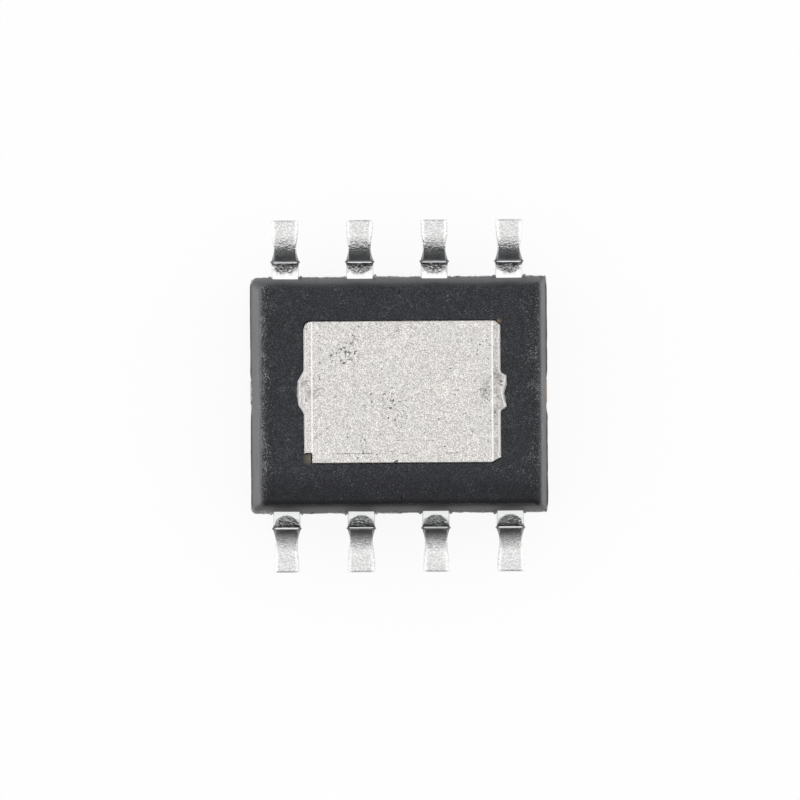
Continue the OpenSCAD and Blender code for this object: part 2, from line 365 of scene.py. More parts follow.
def of_kind(geometry, kind):
    return [item for item in geometry if isinstance(item, kind)]


def smooth_step(low, high, value):
    """0 below low, 1 above high, and a smooth ramp between them."""
    share = min(max((value - low) / (high - low), 0), 1)
    return share * share * (3 - 2 * share)


def hump(middle, half, value):
    """1 at the middle, falling smoothly to 0 at half to either side."""
    return 1 - smooth_step(0, half, abs(value - middle))


def wander(x, y, z, seed):
    """Smooth noise between about -1 and 1, of its own for each seed."""
    return noise.noise(Vector([at + step * seed for at, step in zip((x, y, z), seed_step)]))


def corner_of(point):
    """Which corner of a rectangle about the origin a point is at."""
    return (math.copysign(1, point.x), math.copysign(1, point.y))


def rectangle(bm, half_l, half_w, z):
    """One flat rectangle about the origin, as a face; gives its corners."""
    corners = bmesh.ops.create_grid(bm, x_segments=1, y_segments=1, size=1)["verts"]
    bmesh.ops.scale(bm, vec=(half_l, half_w, 1), verts=corners)
    bmesh.ops.translate(bm, vec=(0, 0, z), verts=corners)
    return corners


def bevel(bm, geometry, affect, offset, segments):
    bmesh.ops.bevel(
        bm,
        geom=geometry,
        offset=offset,
        offset_type="OFFSET",
        affect=affect,
        segments=segments,
        profile=0.5,
        material=-1,
    )


def open_outline(bm, column):
    """Cuts the edges of one face into short columns and takes the face away; its ring of edges stays."""
    for edge in bm.edges[:]:
        cuts = int(edge.calc_length() / column)
        if cuts:
            bmesh.ops.subdivide_edges(bm, edges=[edge], cuts=cuts)
    bmesh.ops.delete(bm, geom=bm.faces[:], context="FACES_ONLY")


def add_drawing(bm, part):
    """Puts a separate drawing into a piece and gives its edges there."""
    before = set(bm.edges)
    mesh = bpy.data.meshes.new("drawing")
    part.to_mesh(mesh)
    part.free()
    bm.from_mesh(mesh)
    bpy.data.meshes.remove(mesh)
    return [edge for edge in bm.edges if edge not in before]


def extruded_ring(bm, ring):
    """Extrudes a ring of edges in place and gives the new ring's vertices and edges."""
    made = bmesh.ops.extrude_edge_only(bm, edges=ring)["geom"]
    verts = set(of_kind(made, bmesh.types.BMVert))
    edges = [edge for edge in of_kind(made, bmesh.types.BMEdge) if set(edge.verts) <= verts]
    return verts, edges


def cut_faces(bm, faces, spot, across):
    """Cuts faces by the plane through a spot."""
    geometry = dict.fromkeys(item for face in faces for item in (face, *face.edges, *face.verts))
    bmesh.ops.bisect_plane(bm, geom=list(geometry), dist=flush, plane_co=spot, plane_no=across)


# Mould body

def body_level(step, height, round_r):
    """Inset and rise of one ring off the parting line: on the wall, its rounded edge or the flat face."""
    inset = (height - round_r) * math.tan(draft)
    if step <= wall_steps:
        part = step / wall_steps
        return inset * part, band_t / 2 + (height - round_r - band_t / 2) * part
    if step > wall_steps + edge_steps:
        return inset + face_ring * round_r, height
    turn = math.pi / 2 * (step - wall_steps) / edge_steps
    return inset + round_r * (1 - math.cos(turn)), height - round_r * (1 - math.sin(turn))


def pad_edge_radius(point):
    """Radius of the edge round the pad's side: worn wider towards the body's ends."""
    worn = worn_edge_r[math.copysign(1, point.x)]
    share = smooth_step(body_half_l - worn_edge_reach, body_half_l, abs(point.x))
    return edge_r + (worn - edge_r) * share


def half_body(bm, parting, plan, way, height):
    """Raises one half of the body from the parting line, ring by ring; gives the ring round its flat face."""
    ring = parting
    for step in range(wall_steps + edge_steps + 2):
        verts, ring = extruded_ring(bm, ring)
        for vert in verts:
            round_r = pad_edge_radius(vert[plan]) if way > 0 else edge_r
            inset, rise = body_level(step, height, round_r)
            vert.co.x = vert[plan].x * (1 - inset / body_half_l)
            vert.co.y = vert[plan].y * (1 - inset / body_half_w)
            vert.co.z = parting_z + way * rise
            if way > 0:
                lean = half_shift - math.copysign(end_lean, vert.co.x)
                vert.co.x += lean * rise / height
    return ring


def sink(bm, outline, depth):
    """Sinks a pocket with a flat floor from a closed outline."""
    verts, floor = extruded_ring(bm, outline)
    bmesh.ops.translate(bm, vec=(0, 0, -depth), verts=list(verts))
    bmesh.ops.contextual_create(bm, geom=floor)


def flash_factor(point, mix):
    """Factor for the flash at a point, from its steady, coarse and fine shares."""
    steady, coarse, fine = mix
    broad, narrow = flash_waves
    swell = wander(point.x * broad, point.y * broad, 0, 1)
    ripple = wander(point.x * narrow, point.y * narrow, 0, 2)
    return steady + coarse * swell + fine * ripple


def flash_at(point):
    """How far resin stands out past the parting line at a point of it."""
    if abs(point.y) < body_half_w - end_margin:
        return flash_at_ends[math.copysign(1, point.x)] * flash_factor(point, flash_mix_ends)
    from_lead = min(abs(abs(point.x) - place * lead_pitch) for place in lead_places)
    beside = flash_beside_lead * hump(lead_w / 2 + flash_lobe_off, flash_lobe_reach, from_lead)
    return max(flash_reach, beside) * flash_factor(point, flash_mix_rows)


def weather_walls(bm):
    """Lets the walls waver a little and the parting line grow its ragged flash."""
    for vert in bm.verts:
        share = Vector((vert.co.x / body_half_l, vert.co.y / body_half_w))
        if max(abs(share.x), abs(share.y)) < wall_share:
            continue
        off_end = max(abs(vert.co.x) - body_half_l + wall_reach, 0)
        off_side = max(abs(vert.co.y) - body_half_w + wall_reach, 0)
        outward = Vector((math.copysign(off_end, share.x), math.copysign(off_side, share.y), 0)).normalized()
        from_face = min(pad_face_z - vert.co.z, vert.co.z - marking_face_z)
        push = wall_waver * wander(*(vert.co * wall_waves), 3)
        wear = end_edge_wear if abs(share.x) > abs(share.y) else edge_wear
        push += wear * hump(edge_r / 2, edge_r, from_face) * wander(*(vert.co * wear_waves), 7)
        if abs(vert.co.z - parting_z) < flush:
            push += flash_at(vert.co)
        if abs(share.x) > abs(share.y):
            push *= smooth_step(tie_w / 2, tie_w, abs(vert.co.y))
            push += end_swell[math.copysign(1, share.x)]
        vert.co += outward * push


def moulded_body():
    """Body with its two drafted halves, the dimple, the pocket for the pad and its flash."""
    bm = bmesh.new()
    plan = bm.verts.layers.float_vector.new("plan")
    for corner in rectangle(bm, body_half_l, body_half_w, parting_z):
        bevel(bm, [corner], "VERTICES", corner_radii[corner_of(corner.co)], corner_steps)
    open_outline(bm, wall_column)
    for vert in bm.verts:
        vert[plan] = vert.co
    parting = bm.edges[:]
    pad_side = half_body(bm, parting, plan, 1, pad_face_z - parting_z)
    marking_side = half_body(bm, parting, plan, -1, parting_z - marking_face_z)

    dimple = bmesh.ops.create_circle(bm, segments=dimple_steps, radius=dimple_r)["verts"]
    bmesh.ops.translate(bm, vec=(*dimple_place, marking_face_z), verts=dimple)
    dimple_ring = list(dict.fromkeys(edge for vert in dimple for edge in vert.link_edges))
    bmesh.ops.triangle_fill(bm, use_beauty=True, edges=marking_side + dimple_ring)
    sink(bm, dimple_ring, -dimple_depth)

    opening = pad_outline(bm, pad_gap)
    bmesh.ops.triangle_fill(bm, use_beauty=True, edges=pad_side + opening)
    sink(bm, opening, sheet_t)
    weather_walls(bm)
    return finish_piece(bm, "moulded_body", [mould_compound()], "mould_body")


# Formed sheet

def stations(path, along, height):
    """Points along the middle of a formed sheet, each as (distance, along, height, heading)."""
    distance = 0
    heading = 0
    found = [(distance, along, height, heading)]
    for length, turn in path:
        steps = bend_steps if turn else max(1, round(length / flat_step))
        half_turn = turn / steps / 2
        chord = length / steps
        if turn:
            chord = 2 * length / abs(turn) * math.sin(abs(half_turn))
        for _ in range(steps):
            along += chord * math.cos(heading + half_turn)
            height += chord * math.sin(heading + half_turn)
            heading += 2 * half_turn
            distance += length / steps
            found.append((distance, along, height, heading))
    return found


def bend(radius, turn):
    """One bend of a path, as its length along the middle of the sheet and its turn; positive turns up."""
    return ((radius + sheet_t / 2) * abs(turn), turn)


def swept_sheet(path, along, height, width, shape):
    """Sweeps a strip with rolled edges along a path in the y-z plane; shape alters its section on the way."""
    bm = bmesh.new()
    section = bm.verts.layers.float_vector.new("section")
    for corner in rectangle(bm, width / 2, sheet_t / 2, 0):
        bevel(bm, [corner], "VERTICES", roll_r, roll_steps)
    for edge in [edge for edge in bm.edges if edge.calc_length() > width / 2]:
        bmesh.ops.subdivide_edges(bm, edges=[edge], cuts=sheet_columns)
    for vert in bm.verts:
        vert[section] = vert.co
    face = bm.faces[:][0]
    for step, (distance, y, z, heading) in enumerate(stations(path, along, height)):
        if step:
            made = bmesh.ops.extrude_face_region(bm, geom=[face], use_keep_orig=step == 1)["geom"]
            face = of_kind(made, bmesh.types.BMFace)[0]
        for vert in face.verts:
            across, up = shape(distance, *vert[section].xy)
            vert.co = (across, y - up * math.sin(heading), z + up * math.cos(heading))
    face.material_index = 1
    return bm


def lead_path(row):
    """Flats and bends of a lead from its bond post to its tip."""
    bends = (shoulder_bend_r + foot_bend_r + sheet_t) * (1 - math.cos(riser_turn))
    rise = foot_top_z - sheet_t / 2 - parting_z
    return [
        (finger_l + shoulder_l, 0),
        bend(shoulder_bend_r, riser_turn),
        ((rise - bends) / math.sin(riser_turn), 0),
        bend(foot_bend_r, -riser_turn),
        (foot_l[row], 0),
    ]


def ledge_lift(distance, across, heel, riser, row, rough):
    """Rise of a lead's upper face where forming pressed it up: a ramp, a ledge in the bend, the riser."""
    turn = (distance - heel) / (shoulder_bend_r + sheet_t / 2)
    if turn < 0:
        dome = math.sqrt(max(1 - (2 * across / heel_w) ** 2, 0))
        ragged = wander(across * heel_edge_waves, rough * heel_apart, 0, 4)
        reach = heel_reach[row] * dome * (1 + rough * ragged)
        climbed = max(1 + (distance - heel) / (reach + flush), 0)
        crumple = wander(across * heel_waves, distance * heel_waves, rough * heel_apart, 6)
        return ledge_h * climbed ** heel_curve[row] * (1 + rough * crumple)
    in_bend = min(turn, riser_turn)
    lift = max(shoulder_bend_r - (shoulder_bend_r - ledge_h) / math.cos(in_bend), 0)
    return lift * (1 - smooth_step(riser, riser + ledge_fade, distance))


def lead_shape(number, row, path):
    """How a lead's section changes along it: bond post, pressed heel with its ears, waist, foot and tip."""
    ends = [0]
    for length, _ in path:
        ends.append(ends[-1] + length)
    heel, riser, riser_end, foot, tip = ends[1:]

    def shape(distance, across, up):
        if distance < post_l:
            return across * post_w / lead_w, up
        lag = 0 if up > 0 else flare_l
        narrowed = smooth_step(heel - lag, riser + flare_l - lag, distance)
        narrowed *= 1 - smooth_step(riser_end, riser_end + waist_reach, distance)
        width = lead_w + (waist_w - lead_w) * narrowed
        foot_share = smooth_step(riser_end, foot, distance)
        inside = lead_w / 2 - abs(across)
        if inside < roll_r:
            across = math.copysign(lead_w / 2 - inside * (1 - edge_sharp * (1 - foot_share)), across)
        waver = foot_waver * wander(distance * foot_waves, number, 0, 8)
        width += (foot_w[number] - lead_w + waver) * foot_share
        if up > 0:
            width += 2 * ear_swell * hump(heel + ear_place, ear_reach, distance)
            up += ledge_lift(distance, across, heel, riser, row, heel_rough[number])
            broken = 1 + tip_ragged * wander(across * tip_waves, number, 0, 9)
            up -= tip_drop * broken * max((distance - tip) / tip_l + 1, 0)
        return across * width / lead_w, up

    return shape


def formed_lead(number):
    """One gull-wing lead, from its bond post in the body to its cut tip."""
    low, high = node_box(f"lead_{number}")
    row = 1 if low.y > 0 else -1
    path = lead_path(row)
    inner_end = min(abs(low.y), abs(high.y))
    bm = swept_sheet(path, inner_end, parting_z, lead_w, lead_shape(number, row, path))
    if row < 0:
        bmesh.ops.rotate(bm, matrix=Matrix.Rotation(math.pi, 3, "Z"), verts=bm.verts)
    bmesh.ops.translate(bm, vec=((low.x + high.x) / 2, 0, 0), verts=bm.verts)
    materials = [tinned_lead(), sheared_copper()]
    return finish_piece(bm, f"formed_lead_{number}", materials, f"lead_{number}")


# Thermal pad

def root_at(point):
    """How far the root of a tie bar stands out of the pad's end."""
    ragged = root_ragged * wander(point.x * root_waves, point.y * root_waves, 0, 5)
    if point.x < 0:
        slope = min(max((root_half_w - abs(point.y)) / root_slope_w, 0), 1)
        return root_out * slope * (1 + ragged)
    lobes = 1 - root_waist_depth * hump(root_waist, root_waist_reach, point.y)
    return root_out * lobes * (1 - smooth_step(*root_lobe_ends, abs(point.y))) * (1 + ragged)


def trim_corner(part, corner):
    """Rounds one corner of the pad's outline, cuts it off or notches it."""
    side = corner_of(corner.co)
    if side not in pad_cuts:
        bevel(part, [corner], "VERTICES", pad_round_r, pad_round_steps)
        return
    along, across = pad_cuts[side]
    before = set(part.verts) - {corner}
    bevel(part, [corner], "VERTICES", min(along, across), 2 if side == pad_notch else 1)
    inner = (side[0] * (pad_half_l - along), side[1] * (pad_half_w - across))
    for vert in set(part.verts) - before:
        on_end = abs(vert.co.x) > pad_half_l - flush
        on_side = abs(vert.co.y) > pad_half_w - flush
        vert.co.x = vert.co.x if on_end else inner[0]
        vert.co.y = vert.co.y if on_side else inner[1]


def pad_outline(bm, grow):
    """Ring of edges round the pad at its face: trimmed corners, and the root of a tie bar at each end."""
    part = bmesh.new()
    for corner in rectangle(part, pad_half_l, pad_half_w, 0):
        trim_corner(part, corner)
    open_outline(part, pad_column)
    for vert in part.verts:
        if abs(vert.co.x) > pad_half_l - flush:
            vert.co.x += math.copysign(root_at(vert.co), vert.co.x)
    outgrown = (1 + grow / pad_half_l, 1 + grow / pad_half_w, 1)
    bmesh.ops.scale(part, vec=outgrown, verts=part.verts)
    bmesh.ops.translate(part, vec=(*pad_middle, pad_face_z), verts=part.verts)
    return add_drawing(bm, part)


def on_pad_face(item):
    return all(vert.co.z > pad_face_z - flush for vert in item.verts)


def score(bm, spot, across):
    """Cuts the faces on the pad's face along a line through a spot."""
    cut_faces(bm, [face for face in bm.faces if on_pad_face(face)], spot, across)


def step_margin(bm, end):
    """Lowers the margin at one end of the pad by a small step with a sloping flank."""
    edge_x = pad_half_l - margin_l
    for shift in (0, margin_step_w):
        score(bm, Vector((pad_middle[0] + end * (edge_x + shift), 0, 0)), Vector((1, 0, 0)))
    for vert in bm.verts:
        out = (vert.co.x - pad_middle[0]) * end
        if out > edge_x + margin_step_w - flush and vert.co.z > pad_face_z - sheet_t / 2:
            vert.co.z -= margin_step


def in_dash(along):
    """Whether a place on the scored line along the pad's front edge is in the deep part of a dash."""
    fade = score_dash_end - flush
    return any(start + fade < along < stop - fade for start, stop in score_dashes)


def broken_score(bm):
    """Scores a broken line along the pad's front edge: each dash is a narrow cut that fades at its ends."""
    line_y = pad_middle[1] - pad_half_w + score_inset
    for shift in (-score_w / 2, score_w / 2, 0):
        score(bm, Vector((0, line_y + shift, 0)), Vector((0, 1, 0)))
    for start, stop in score_dashes:
        for along in (start, start + score_dash_end, stop - score_dash_end, stop):
            score(bm, Vector((pad_middle[0] + along, 0, 0)), Vector((1, 0, 0)))
    for vert in bm.verts:
        on_line = abs(vert.co.y - line_y) < flush and vert.co.z > pad_face_z - flush
        if on_line and in_dash(vert.co.x - pad_middle[0]):
            vert.co.z -= score_depth


def tie_bar(bm, end):
    """Strip from the pad's end down to the parting line, out to its cut end in the body's end wall."""
    mid_r = tie_bend_r + sheet_t / 2
    drop = pad_face_z - sheet_t / 2 - parting_z
    start = pad_half_l - tie_root_l
    wall = body_half_l + end_swell[end] - end * pad_middle[0]
    reach = wall - tie_end_l - (pad_half_l + tie_root_l)
    apart = math.hypot(reach, drop - 2 * mid_r)
    turn = math.atan2(drop - 2 * mid_r, reach) + math.asin(2 * mid_r / apart)
    path = [
        (pad_half_l + tie_root_l - start, 0),
        bend(tie_bend_r, -turn),
        (math.sqrt(apart ** 2 - (2 * mid_r) ** 2), 0),
        bend(tie_bend_r, turn),
        (tie_end_l + tie_proud, 0),
    ]
    sunk = pad_edge_r + margin_step
    level = pad_face_z - sheet_t / 2 - sunk
    part = swept_sheet(path, start, level, tie_w, lambda _, across, up: (across, up))
    cut_end = [face for face in part.faces if face.material_index]
    cut_faces(part, cut_end, Vector((0, 0, parting_z)), Vector((0, 0, 1)))
    for vert in part.verts:
        share = max((vert.co.y - wall) / tie_end_l + 1, 0)
        vert.co.y -= abs(vert.co.z - parting_z) * math.tan(draft) * share
    bmesh.ops.rotate(part, matrix=Matrix.Rotation(-math.pi / 2 * end, 3, "Z"), verts=part.verts)
    bmesh.ops.translate(part, vec=(*pad_middle, 0), verts=part.verts)
    add_drawing(bm, part)


def slope_rims(bm):
    """Draws the ends of the pad's face in, so that each end slopes down in a narrow rim."""
    for vert in bm.verts:
        off_middle = vert.co.x - pad_middle[0]
        if vert.co.z > pad_face_z - flush and abs(off_middle) > pad_half_l - pad_edge_r - flush:
            vert.co.x -= math.copysign(pad_rim_w, off_middle)


def coined_pad():
    """Pad with its trimmed outline, rims, broken score line, lowered margins and tie bars."""
    bm = bmesh.new()
    bmesh.ops.contextual_create(bm, geom=pad_outline(bm, 0))
    made = bmesh.ops.extrude_face_region(bm, geom=bm.faces[:], use_keep_orig=True)["geom"]
    bmesh.ops.translate(bm, vec=(0, 0, -sheet_t), verts=of_kind(made, bmesh.types.BMVert))
    bevel(bm, [edge for edge in bm.edges if on_pad_face(edge)], "EDGES", pad_edge_r, 1)
    slope_rims(bm)
    broken_score(bm)
    for end in (-1, 1):
        step_margin(bm, end)
    for end in (-1, 1):
        tie_bar(bm, end)
    materials = [tinned_pad(), sheared_copper()]
    return finish_piece(bm, "coined_pad", materials, "thermal_pad", math.radians(15))


# Shading helpers

def put(tree, kind, inputs=None, **properties):
    """Adds a node, sets its properties, and sets its inputs or links them where a socket is given."""
    made = tree.nodes.new(kind)
    for name, value in properties.items():
        setattr(made, name, value)
    for name, value in (inputs or {}).items():
        if isinstance(value, bpy.types.NodeSocket):
            tree.links.new(value, made.inputs[name])
        else:
            made.inputs[name].default_value = value
    return made


def millimetres(tree):
    """The piece's own coordinates, in millimetres."""
    place = put(tree, "ShaderNodeTexCoord").outputs["Object"]
    return put(tree, "ShaderNodeVectorMath", {0: place, "Scale": 1 / MM}, operation="SCALE").outputs[0]


def parts_of(tree, vector):
    """The x, y and z of a vector."""
    return put(tree, "ShaderNodeSeparateXYZ", {0: vector}).outputs


def facing(tree):
    """The x, y and z of the way that the surface faces."""
    return parts_of(tree, put(tree, "ShaderNodeNewGeometry").outputs["Normal"])


def stretched(tree, place, scale):
    """A place with each of its directions scaled."""
    return put(tree, "ShaderNodeVectorMath", {0: place, 1: scale}, operation="MULTIPLY").outputs[0]


def noise_at(tree, place, scale, detail=2.0, roughness=0.5):
    inputs = {"Vector": place, "Scale": scale, "Detail": detail, "Roughness": roughness}
    return put(tree, "ShaderNodeTexNoise", inputs).outputs["Fac"]


def ramp(tree, value, low, high, to_low=0.0, to_high=1.0):
    """Maps a value from one range to another, held at both ends."""
    inputs = {0: value, 1: low, 2: high, 3: to_low, 4: to_high}
    return put(tree, "ShaderNodeMapRange", inputs, clamp=True).outputs[0]


def maths(tree, operation, *values):
    return put(tree, "ShaderNodeMath", dict(enumerate(values)), operation=operation).outputs[0]


def product(tree, first, *others):
    """Values multiplied together."""
    for value in others:
        first = maths(tree, "MULTIPLY", first, value)
    return first


def size_of(tree, value):
    return maths(tree, "ABSOLUTE", value)


def between(tree, value, low, high, fade):
    """1 between two values, falling to 0 over a fade outside them."""
    return product(tree, ramp(tree, value, low - fade, low), ramp(tree, value, high, high + fade, 1, 0))


def blend(tree, amount, first, second):
    """Goes from the first value to the second by an amount."""
    return put(tree, "ShaderNodeMix", {0: amount, 2: first, 3: second}).outputs[0]


def blend_colour(tree, amount, first, second):
    """Goes from the first colour to the second by an amount."""
    made = put(tree, "ShaderNodeMix", {0: amount, 6: first, 7: second}, data_type="RGBA")
    return made.outputs[2]


def layered(tree, tone, layers):
    """Lays colours over a tone one after the other, each by its mask."""
    for mask, colour in layers:
        tone = blend_colour(tree, mask, tone, colour)
    return tone


def new_material(name):
    material = bpy.data.materials.new(name)
    material.use_nodes = True
    tree = material.node_tree
    return material, tree, tree.nodes["Principled BSDF"]


def use_bump(tree, shader, height, distance, strength=1.0):
    """Relief in the surface; the distance is in millimetres."""
    inputs = {"Height": height, "Distance": distance * MM, "Strength": strength}
    tree.links.new(put(tree, "ShaderNodeBump", inputs).outputs[0], shader.inputs["Normal"])


def once(build):
    """Keeps a material after the first time it is asked for."""
    kept = []

    def made():
        if not kept:
            kept.append(build())
        return kept[0]

    return made


# Effects that more than one material uses

def node_group(name, inputs, outputs):
    """Empty shader node group with named sockets; gives it with the sockets inside it."""
    tree = bpy.data.node_groups.new(name, "ShaderNodeTree")
    for socket, kind in inputs.items():
        tree.interface.new_socket(socket, in_out="INPUT", socket_type=kind)
    for socket in outputs:
        tree.interface.new_socket(socket, in_out="OUTPUT", socket_type="NodeSocketFloat")
    return tree, put(tree, "NodeGroupInput").outputs, put(tree, "NodeGroupOutput").inputs


@once
def speckle():
    """Fine grain with a faint mottle, so many grains to the millimetre, and specks that gather in soil."""
    inputs = {"Place": "NodeSocketVector", "Grains": "NodeSocketFloat", "Soil": "NodeSocketFloat"}
    tree, given, wanted = node_group("speckle", inputs, ["Grain", "Specks"])
    slant = {"Vector": given["Place"], "Axis": grain_axis, "Angle": grain_turn}
    turned = put(tree, "ShaderNodeVectorRotate", slant).outputs[0]
    fine = noise_at(tree, turned, given["Grains"], 1, 0.5)
    mottle = noise_at(tree, turned, maths(tree, "MULTIPLY", given["Grains"], 0.25), 2)
    sparse = noise_at(tree, turned, maths(tree, "MULTIPLY", given["Grains"], 0.9), 2, 0.6)
    gathered = maths(tree, "MULTIPLY_ADD", given["Soil"], 0.2, sparse)
    uneven = maths(tree, "MULTIPLY_ADD", mottle, 0.25, fine)
    tree.links.new(ramp(tree, uneven, 0.5, 0.75), wanted["Grain"])
    tree.links.new(ramp(tree, gathered, 0.66, 0.74), wanted["Specks"])
    return tree


def speckled(tree, place, grains, soil=0.0):
    inputs = {"Place": place, "Grains": grains, "Soil": soil}
    made = put(tree, "ShaderNodeGroup", inputs, node_tree=speckle())
    return made.outputs["Grain"], made.outputs["Specks"]


def near(tree, place, spots):
    """Mask that is highest at the middle of each spot (x, y, reach, level) and 0 beyond its reach."""
    level = stretched(tree, place, (1, 1, 0))
    mask = 0.0
    for x, y, reach, most in spots:
        apart = put(tree, "ShaderNodeVectorMath", {0: level, 1: (x, y, 0)}, operation="DISTANCE")
        mask = maths(tree, "MAXIMUM", ramp(tree, apart.outputs["Value"], 0, reach, most, 0), mask)
    return mask


# Mould compound

def body_rims(tree, x, z, out_x):
    """Mask of the worn rims at the body's two ends, strongest at the left, where it also makes the filler
    paler as painted highlight.
    """
    rounded = between(tree, size_of(tree, out_x), 0.55, 0.9, 0.06)
    worn = maths(tree, "MULTIPLY_ADD", rounded, 0.12, ramp(tree, x, *left_rim_x, 0.45, 0))
    upper = product(tree, worn, ramp(tree, z, *left_rim_z))
    right = product(tree, ramp(tree, x, *right_rim_x, 0, 0.25), ramp(tree, z, *right_rim_z))
    return maths(tree, "ADD", upper, right)


def body_grain(tree, place, rim, eroded):
    """Grain of the resin, and mask of the pale filler that shows where the resin is worn."""
    clumps = ramp(tree, noise_at(tree, place, 4, 2), 0.48, 0.65, 0, 0.38)
    grain, specks = speckled(tree, place, resin_grains, maths(tree, "ADD", rim, clumps))
    laid_bare = maths(tree, "MAXIMUM", eroded, ramp(tree, rim, 0.15, 0.25))
    return grain, product(tree, specks, laid_bare)


def wall_flash(tree, place, y, climb):
    """Mask of the pale flakes on the parting band, strongest along the lead rows."""
    flakes = ramp(tree, noise_at(tree, place, 12, 2), 0.35, 0.6, 0.2, 1)
    in_row = ramp(tree, size_of(tree, y), *row_wall_y, 0.05, 1)
    return product(tree, ramp(tree, climb, *flash_climb, 1, 0), in_row, flakes)


def wall_frost(tree, place, y, z):
    """Mask of the rime over the parting line on the long walls, and its colour; both follow its spots."""
    heavy = near(tree, place, frost_spots)
    thin_top, thick_top = (parting_z + climb for climb in frost_climb)
    below_top = ramp(tree, z, parting_z, ramp(tree, heavy, 0.4, 1, thin_top, thick_top), 1, 0)
    above_band = ramp(tree, z, parting_z - 0.1, parting_z)
    in_row = ramp(tree, size_of(tree, y), *row_wall_y)
    patches = ramp(tree, noise_at(tree, place, 20, 3, 0.65), 0.45, 0.6, 0, 0.85)
    mask = product(tree, below_top, above_band, in_row, patches)
    return mask, blend_colour(tree, heavy, rime_thin, rime_thick)


def body_matte(tree, climb, front, out):
    """Roughness of the resin: its end walls, its long walls up to their edge, and its faces."""
    out_x, out_y, out_z = out
    end_wall = ramp(tree, out_x, -1, 1, 0.24, 0.36)
    side_wall = ramp(tree, climb, 0.05, 0.7, 0.36, 0.66)
    wall = blend(tree, size_of(tree, out_y), end_wall, side_wall)
    face = ramp(tree, front, 0, 1, 0.5, 0.9)
    return blend(tree, ramp(tree, size_of(tree, out_z), 0.3, 0.8), wall, face)


@once
def mould_compound():
    """Filled black epoxy: smooth by the parting line, eroded by its faces, with bleed, flash and rime."""
    material, tree, shader = new_material("mould_compound")
    place = millimetres(tree)
    x, y, z = parts_of(tree, place)
    out = facing(tree)
    climb = size_of(tree, maths(tree, "SUBTRACT", z, parting_z))
    eroded = ramp(tree, climb, *eroded_climb)
    rim = body_rims(tree, x, z, out["X"])
    grain, filler = body_grain(tree, place, rim, eroded)
    mottle = ramp(tree, noise_at(tree, place, 1.6, 2), 0.3, 0.7, 0, 0.25)
    # painted shade: the face is darkened along its front edge
    front = product(tree, ramp(tree, y, *front_edge_y, 0.95, 0.4), ramp(tree, y, *front_fade_y, 1, 0))
    by_pad = ramp(tree, z, parting_z, pad_face_z - sheet_t)
    tone = layered(tree, blend_colour(tree, grain, resin_dark, resin_light), [
        (mottle, resin_mottle),
        # filler specks, paler at the rims as painted highlight
        (filler, blend_colour(tree, rim, filler_dull, filler_with_painted_highlight)),
        (front, resin_painted_front_shade),
        (product(tree, near(tree, place, bleed_spots), by_pad), resin_bleed),
        (product(tree, near(tree, place, bare_spots), by_pad), bare_copper),
        (wall_flash(tree, place, y, climb), flash_pale),
        wall_frost(tree, place, y, z),
    ])
    tree.links.new(tone, shader.inputs["Base Color"])

    worn = product(tree, grain, eroded)
    matte = body_matte(tree, climb, front, out)
    tree.links.new(maths(tree, "MULTIPLY_ADD", worn, 0.3, matte), shader.inputs["Roughness"])
    shader.inputs["Specular IOR Level"].default_value = resin_shine
    relief = maths(tree, "MULTIPLY_ADD", rim, 3, 1.3)
    pocks = product(tree, noise_at(tree, place, 20, 2, 0.6), product(tree, rim, 3))
    use_bump(tree, shader, maths(tree, "MULTIPLY_ADD", worn, relief, pocks), 0.009)
    return material


# Tin plate and copper

def pit_strokes(tree, place, soil):
    """Mask of short dark strokes, in clusters where the plate is soiled."""
    wriggle = maths(tree, "SUBTRACT", noise_at(tree, place, 9, 1), 0.5)
    strokes = ramp(tree, size_of(tree, wriggle), 0.015, 0.045, 1, 0)
    broken = maths(tree, "MULTIPLY_ADD", soil, 0.3, noise_at(tree, place, 17, 1))
    return product(tree, strokes, ramp(tree, broken, 0.67, 0.74))


@once
def tinned_pad():
    """Matte tin plate on the pad: grainy, pitted where it is soiled, stained and smudged at its ends."""
    material, tree, shader = new_material("tinned_pad")
    place = millimetres(tree)
    x = parts_of(tree, place)["X"]
    broad = noise_at(tree, place, 2.4, 2)
    soil = maths(tree, "ADD", near(tree, place, soil_spots), ramp(tree, broad, 0.4, 0.7, 0, 0.12))
    grain, _ = speckled(tree, place, pad_grains)
    stain = maths(tree, "ADD", ramp(tree, x, *right_stain_x, 0, 0.75), ramp(tree, x, *left_stain_x, 0.65, 0))
    stain = product(tree, stain, ramp(tree, noise_at(tree, place, 20, 2), 0.35, 0.65))
    patches = ramp(tree, noise_at(tree, place, 22, 2, 0.6), 0.32, 0.55)
    # painted highlight: slopes that face along the pad, at its rims and margin steps, are painted pale
    end_painted_highlight = between(tree, size_of(tree, facing(tree)["X"]), 0.2, 0.7, 0.1)
    tone = layered(tree, blend_colour(tree, grain, pad_dark, pad_light), [
        (ramp(tree, broad, 0.55, 0.75, 0, 0.35), pad_cloud),
        (stain, pad_stain),
        (product(tree, near(tree, place, smudge_spots), patches), pad_smudge),
        (pit_strokes(tree, place, soil), pad_pit),
        (end_painted_highlight, pad_painted_highlight),
    ])
    tree.links.new(tone, shader.inputs["Base Color"])
    tree.links.new(ramp(tree, grain, 0, 1, 0.46, 0.34), shader.inputs["Roughness"])
    shader.inputs["Metallic"].default_value = 1
    use_bump(tree, shader, grain, 0.004)
    return material


def by_row(tree, row, front, back):
    """A value that differs between the front and back rows of leads."""
    return ramp(tree, row, 0, 1, front, back)


def heel_mask(tree, reach, height):
    """Mask of the pressed heel, which stands over the shoulder and ends at the ledge."""
    raised = ramp(tree, height, shoulder_top_z + 0.002, shoulder_top_z + 0.006)
    return product(tree, raised, ramp(tree, reach, heel_y, heel_y + 0.006, 1, 0))


